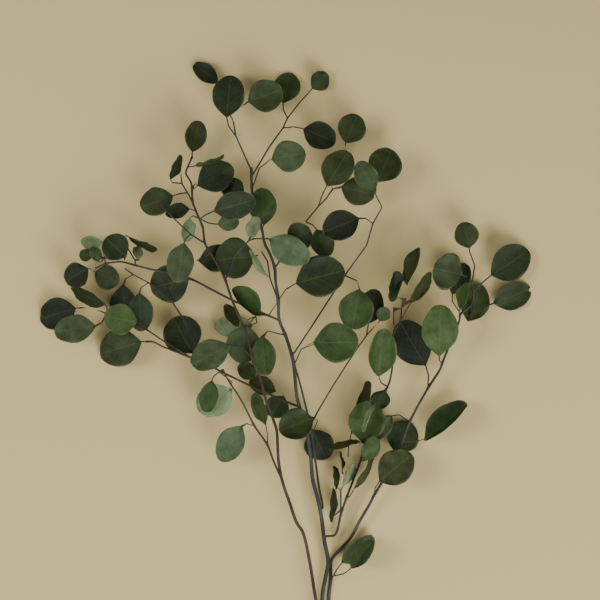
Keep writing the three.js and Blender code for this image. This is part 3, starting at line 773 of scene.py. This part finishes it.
def makeStalks(nodeName, copy, leaves):
    rims = {vert for leaf in leaves for vert in leaf["rim"]}
    blades = [face for face in copy.faces
              if any(vert in rims for vert in face.verts) or onBlade(face, leaves)]
    bmesh.ops.delete(copy, geom=blades, context="FACES")
    for _ in range(stalkShape["splits"]):  # short edges keep each fork as slim as its twigs
        tooLong = [edge for edge in copy.edges if edge.calc_length() > stalkShape["longestEdge"]]
        bmesh.ops.subdivide_edges(copy, edges=tooLong, cuts=1)
        bmesh.ops.triangulate(copy, faces=copy.faces)
    ends = bmesh.ops.holes_fill(copy, edges=[e for e in copy.edges if e.is_boundary],
                                sides=stalkShape["mostCorners"])["faces"]
    for end in ends:  # a stalk runs on, ever thinner, to just below its blade's midrib
        centre = end.calc_center_median()
        leaf = min(leaves, key=lambda item: (item["sections"][0][1] - centre).length)
        end = bmesh.ops.extrude_discrete_faces(copy, faces=[end])["faces"][0]
        goal = leaf["sections"][0][1] - Vector((0, 0, stalkShape["midribDrop"]))
        bmesh.ops.translate(copy, verts=end.verts, vec=goal - end.calc_center_median())
        bmesh.ops.scale(copy, verts=end.verts, vec=(stalkShape["endShare"],) * 3,
                        space=Matrix.Translation(-goal))
    feet = []
    for vert in copy.verts:
        hit, normal, _, distance = nearestStem(vert.co)
        if distance < stalkShape["footGap"]:
            feet.append(vert.co.copy())
            vert.co = hit - normal * stemShape["sink"]
    if feet:
        stalkFeet.append(sum(feet, Vector()) / len(feet))
    bmesh.ops.smooth_vert(copy, verts=copy.verts, factor=stalkShape["smoothing"],
                          use_axis_x=True, use_axis_y=True, use_axis_z=True)
    slotName = "stem_brown" if slotOf[nodeName] == "leaf_green" else "stem_dark"
    finishPiece(copy, nodeName + "_stalks", [barkMaterials[slotName]], nodeName)


slotOf = {part["node"]: part["material_slot"] for part in frame["record"]["subparts"]}
stalkFeet = []
leafCount = 0
for nodeName in leafyNames:
    copy = mergedCopy(nodeName)
    leaves = readLeaves(copy)
    leafCount += len(leaves)
    makeBlades(nodeName, leaves)
    makeStalks(nodeName, copy, leaves)
print("leaves made:", leafCount)

for stemName in stemNames:
    makeStem(stemName)
print("stems made:", len(stemNames))


stage = {
    "floorColour": (0.505, 0.418, 0.203, 1),
    "floorSize": 6.0,            # from its middle to each side
    "floorRoughness": 0.9,
    "floorSpecular": 0.1,
    "frameWidth": 0.66,          # how much of the table the camera sees across, at the bunch
    "leftMargin": 0.0412,        # from the frame's left edge to the leftmost leaf
    "topMargin": 0.0658,         # from its top edge to the topmost leaf
    "lens": 200.0,
    "sensor": 36.0,
    "sky": (0.95, 0.93, 0.88, 1),
    "skyStrength": 0.35,
}
lights = {
    "key": {"place": (-1.9, 0.1, 1.7), "size": 1.2, "energy": 42, "colour": (1, 0.97, 0.92)},
    "fill": {"place": (1.2, -1.7, 1.4), "size": 1.6, "energy": 74, "colour": (1, 0.98, 0.95)},
    "overhead": {"place": (0.9, -1.2, 3.2), "size": 2.6, "energy": 34, "colour": (1, 0.97, 0.92)},
}


def makeFloor():
    floor = bmesh.new()
    bmesh.ops.create_grid(floor, x_segments=1, y_segments=1, size=stage["floorSize"])
    data = bpy.data.meshes.new("table")
    floor.to_mesh(data)
    floor.free()
    table = bpy.data.objects.new("table", data)
    bpy.context.scene.collection.objects.link(table)
    material = bpy.data.materials.new("tableTop")
    material.use_nodes = True
    shader = material.node_tree.nodes["Principled BSDF"]
    shader.inputs["Base Color"].default_value = stage["floorColour"]
    shader.inputs["Roughness"].default_value = stage["floorRoughness"]
    shader.inputs["Specular IOR Level"].default_value = stage["floorSpecular"]
    data.materials.append(material)


def makeLight(name, values):  # it looks at the middle of the bunch
    data = bpy.data.lights.new(name, "AREA")
    data.shape = "DISK"
    data.size = values["size"]
    data.energy = values["energy"]
    data.color = values["colour"]
    light = bpy.data.objects.new(name, data)
    light.location = values["place"]
    towards = Vector(values["place"]) * -1
    light.rotation_euler = towards.to_track_quat("-Z", "Y").to_euler()
    bpy.context.scene.collection.objects.link(light)


def makeSky():
    world = bpy.data.worlds.new("studio")
    world.use_nodes = True
    background = world.node_tree.nodes["Background"]
    background.inputs["Color"].default_value = stage["sky"]
    background.inputs["Strength"].default_value = stage["skyStrength"]
    bpy.context.scene.world = world


def makeCamera():
    data = bpy.data.cameras.new("camera")
    data.lens = stage["lens"]
    data.sensor_width = stage["sensor"]
    camera = bpy.data.objects.new("camera", data)
    half = stage["frameWidth"] / 2
    height = stage["frameWidth"] * stage["lens"] / stage["sensor"]
    camera.location = (cadLow.x - stage["leftMargin"] + half, cadHigh.y + stage["topMargin"] - half,
                       height + (cadLow.z + cadHigh.z) / 2)
    bpy.context.scene.collection.objects.link(camera)
    bpy.context.scene.camera = camera


makeFloor()
for lightName, values in lights.items():
    makeLight(lightName, values)
makeSky()
makeCamera()
print("stage set")
